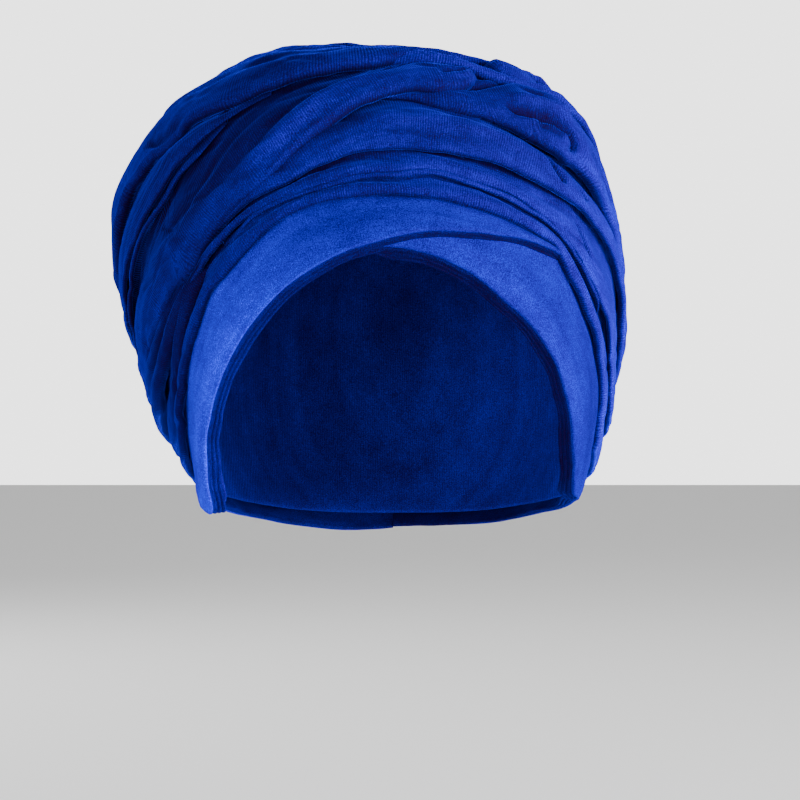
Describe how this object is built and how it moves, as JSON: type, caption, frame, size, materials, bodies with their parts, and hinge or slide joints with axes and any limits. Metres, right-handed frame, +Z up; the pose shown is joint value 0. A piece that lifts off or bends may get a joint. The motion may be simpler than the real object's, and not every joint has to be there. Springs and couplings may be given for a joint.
{
  "type": "turban headwrap",
  "caption": "Soft velvet turban headwrap with a close cap, crossed front bands and long tails wound round the head into pleats and a side twist.",
  "frame": {"origin": "mid-point between the tops of the ears, in the middle of the hollow, where the wrap is held by a head", "axes": "+Z up, -Y out of the forehead, +X towards the side of the tucked end"},
  "size_m": [0.1947, 0.217, 0.1777],
  "materials": {
    "cap_velvet": "royal blue stretch velvet, the plain cap under the wrap",
    "band_velvet": "royal blue stretch velvet, smooth mottled nap",
    "wrap_velvet": "royal blue stretch velvet, fine ribs across each pass"
  },
  "bodies": {
    "root": {"cap_crown": "cap_velvet", "front_band_left": "band_velvet", "front_band_right": "band_velvet", "low_wrap": "wrap_velvet", "mid_wrap": "wrap_velvet", "left_wrap": "wrap_velvet", "crown_wrap": "wrap_velvet", "right_wrap": "wrap_velvet", "left_twist": "wrap_velvet", "tuck_end": "wrap_velvet"}
  },
  "joints": []
}
